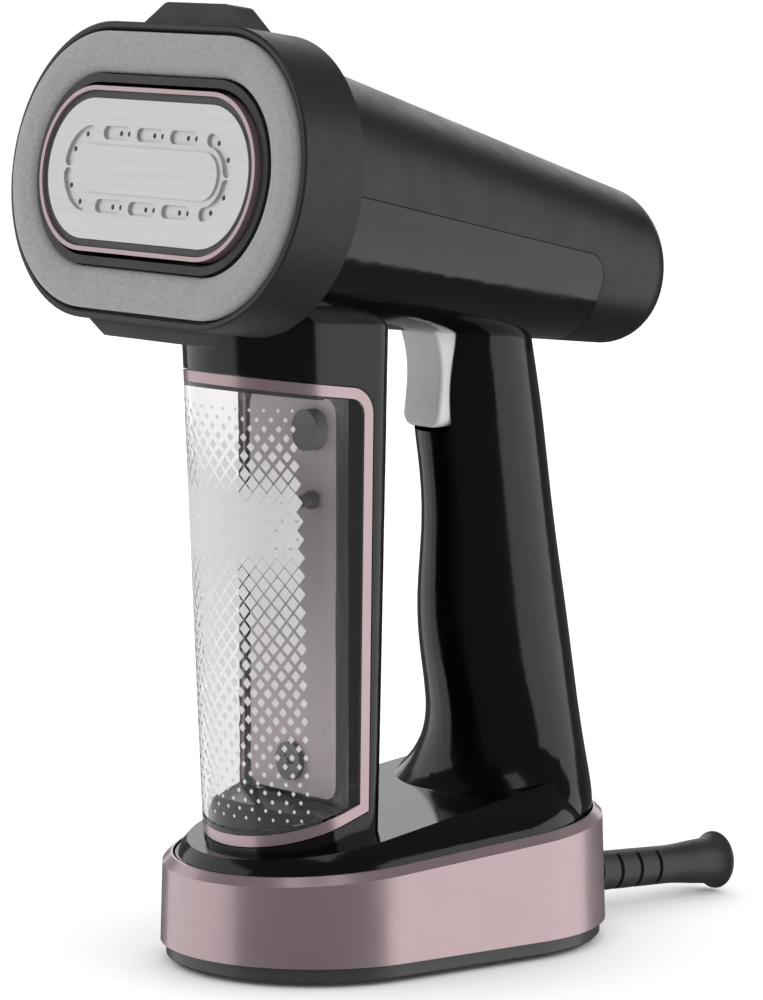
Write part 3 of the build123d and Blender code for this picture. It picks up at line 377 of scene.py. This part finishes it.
def stadium_point(radius, t):
    """Point and outward direction at t (0 to 1) round a stadium of the head's straight length."""
    half = HEAD_STRAIGHT / 2
    mean_r = (PAD_INNER_R + PAD_OUTER_R) / 2
    arc = pi * mean_r
    length = 2 * (HEAD_STRAIGHT + arc)
    s = t * length
    if s < HEAD_STRAIGHT:
        return (half - s, radius)
    s -= HEAD_STRAIGHT
    if s < arc:
        angle = pi / 2 + s / mean_r
        return (-half + radius * cos(angle), radius * sin(angle))
    s -= arc
    if s < HEAD_STRAIGHT:
        return (-half + s, -radius)
    s -= HEAD_STRAIGHT
    angle = -pi / 2 + s / mean_r
    return (half + radius * cos(angle), radius * sin(angle))


def new_piece(name, points, faces, body, material, smooth=True):
    """Mesh object that rides on a body and takes a slot's finish."""
    mesh = bpy.data.meshes.new(name)
    mesh.from_pydata([tuple(p) for p in points], [], faces)
    mesh.validate()
    fixed = bmesh.new()
    fixed.from_mesh(mesh)
    bmesh.ops.recalc_face_normals(fixed, faces=fixed.faces)
    fixed.to_mesh(mesh)
    fixed.free()
    mesh.materials.append(material)
    for polygon in mesh.polygons:
        polygon.use_smooth = smooth
    piece = bpy.data.objects.new(name, mesh)
    bpy.context.scene.collection.objects.link(piece)
    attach(piece, body)
    return piece


# ---------------------------------------------------------------- lint pad
def pad_section():
    """Cross-section of the felt pad as (radius, depth): rolled edges and a slightly crowned face."""
    inner_roll, outer_roll, steps = 3.6, 1.8, 8
    points = [(PAD_INNER_R, -PAD_THICK)]
    for i in range(steps + 1):
        angle = pi / 2 * i / steps
        radius = PAD_INNER_R + inner_roll * (1 - cos(angle))
        points.append((radius, -inner_roll * 0.75 * (1 - sin(angle))))
    face_start, face_end = PAD_INNER_R + inner_roll, PAD_OUTER_R - outer_roll
    for i in range(1, steps):
        share = i / steps
        points.append((face_start + (face_end - face_start) * share, 0.35 * sin(pi * share)))
    for i in range(steps + 1):
        angle = pi / 2 * i / steps
        points.append((face_end + outer_roll * sin(angle), -outer_roll * (1 - cos(angle))))
    points.append((PAD_OUTER_R, -PAD_THICK))
    return points


def add_lint_pad(material):
    """Needle-felt ring, cut from sheet and bonded in the frame; its face undulates by a hair."""
    section = pad_section()
    around = 360
    points, faces = [], []
    for i in range(around):
        t = i / around
        for radius, depth in section:
            x, up = stadium_point(radius, t)
            wave = 0.06 * sin(x * 0.31 + up * 0.17) * sin(up * 0.23 - x * 0.11)
            points.append(head_point(x, up, depth + wave * (depth > -2.0)))
    count = len(section)
    for i in range(around):
        for j in range(count):
            a, b = i * count + j, i * count + (j + 1) % count
            step = ((i + 1) % around) * count
            faces.append((a, b, step + (j + 1) % count, step + j))
    pad = new_piece("felt_lint_pad", points, faces, "pad_attachment", material)
    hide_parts("lint_pad")


# ---------------------------------------------------------------- printed pattern on the tank
def column_front(x, z, proud=0.0):
    """Point on the rounded front of the column at a height, in metres."""
    share = (z - COLUMN_FOOT[0]) / (COLUMN_HEAD[0] - COLUMN_FOOT[0])
    front_y = COLUMN_FOOT[1] + (COLUMN_HEAD[1] - COLUMN_FOOT[1]) * share
    angle = x / COLUMN_HALF
    y = front_y + COLUMN_NOSE - (COLUMN_NOSE + proud) * cos(angle)
    return Vector(((COLUMN_HALF + proud) * sin(angle), y, z)) * MM


PRINT_LOW, PRINT_HIGH = 50.0, 181.0       # the print's heights on the tank
BAND_LOW, BAND_HIGH = 131.0, 150.0        # where the diamonds merge into a solid band
DIAMOND_WIDE, DIAMOND_TALL = 5.0, 5.7     # pitch of the lattice
PRINT_HALF = 6                            # diamonds each side of the middle


def diamond_share(z):
    """Size of a diamond at a height, as a share of the full lattice."""
    if z > BAND_HIGH:
        return max(0.2, 1.02 - 0.85 * (z - BAND_HIGH) / (PRINT_HIGH - BAND_HIGH))
    if z < BAND_LOW:
        return max(0.22, 0.95 - 0.72 * (BAND_LOW - z) / (BAND_LOW - PRINT_LOW))
    return 1.0


def add_tank_print(material):
    """Halftone of silver diamonds hot-stamped on the front of the tank."""
    points, faces = [], []
    row = 0
    z = PRINT_LOW
    while z <= PRINT_HIGH:
        share = min(diamond_share(z), 1.0)
        wide, tall = DIAMOND_WIDE / 2 * share, DIAMOND_TALL / 2 * share
        for column in range(-PRINT_HALF, PRINT_HALF + 1):
            x = (column + 0.5 * (row % 2)) * DIAMOND_WIDE
            start = len(points)
            for dx, dz in ((-wide, 0), (0, -tall), (wide, 0), (0, tall)):
                points.append(column_front(x + dx, z + dz, 0.06))
            faces.append((start, start + 1, start + 2, start + 3))
        z += DIAMOND_TALL / 2
        row += 1
    piece = new_piece("tank_print", points, faces, "tank", material, smooth=False)
    thick = piece.modifiers.new("thickness", "SOLIDIFY")
    thick.thickness = 0.00005
    thick.offset = 0.0


# ---------------------------------------------------------------- build
materials = make_materials()
silver_print = brushed_metal("silver_print", (0.58, 0.57, 0.575), 0.55, (1, 1, 1), metallic=0.1)

add_camera()
add_world()
add_floor()
add_softbox("softbox_left", -50, 0.05, 1.6, (2.7, 2.5), 17, aim_height=0.05)
add_softbox("softbox_right", 138, 0.05, 1.5, (2.0, 2.3), 16, aim_height=0.05)
add_softbox("softbox_back", 231, 1.0, 2.6, (2.6, 1.6), 14)
add_softbox("softbox_top", 30, 1.9, 0.3, (0.9, 0.9), 2.5)
bpy.context.scene.view_settings.view_transform = "Standard"

dress_cad_nodes(materials)
add_lint_pad(materials["lint_fabric"])
add_tank_print(silver_print)
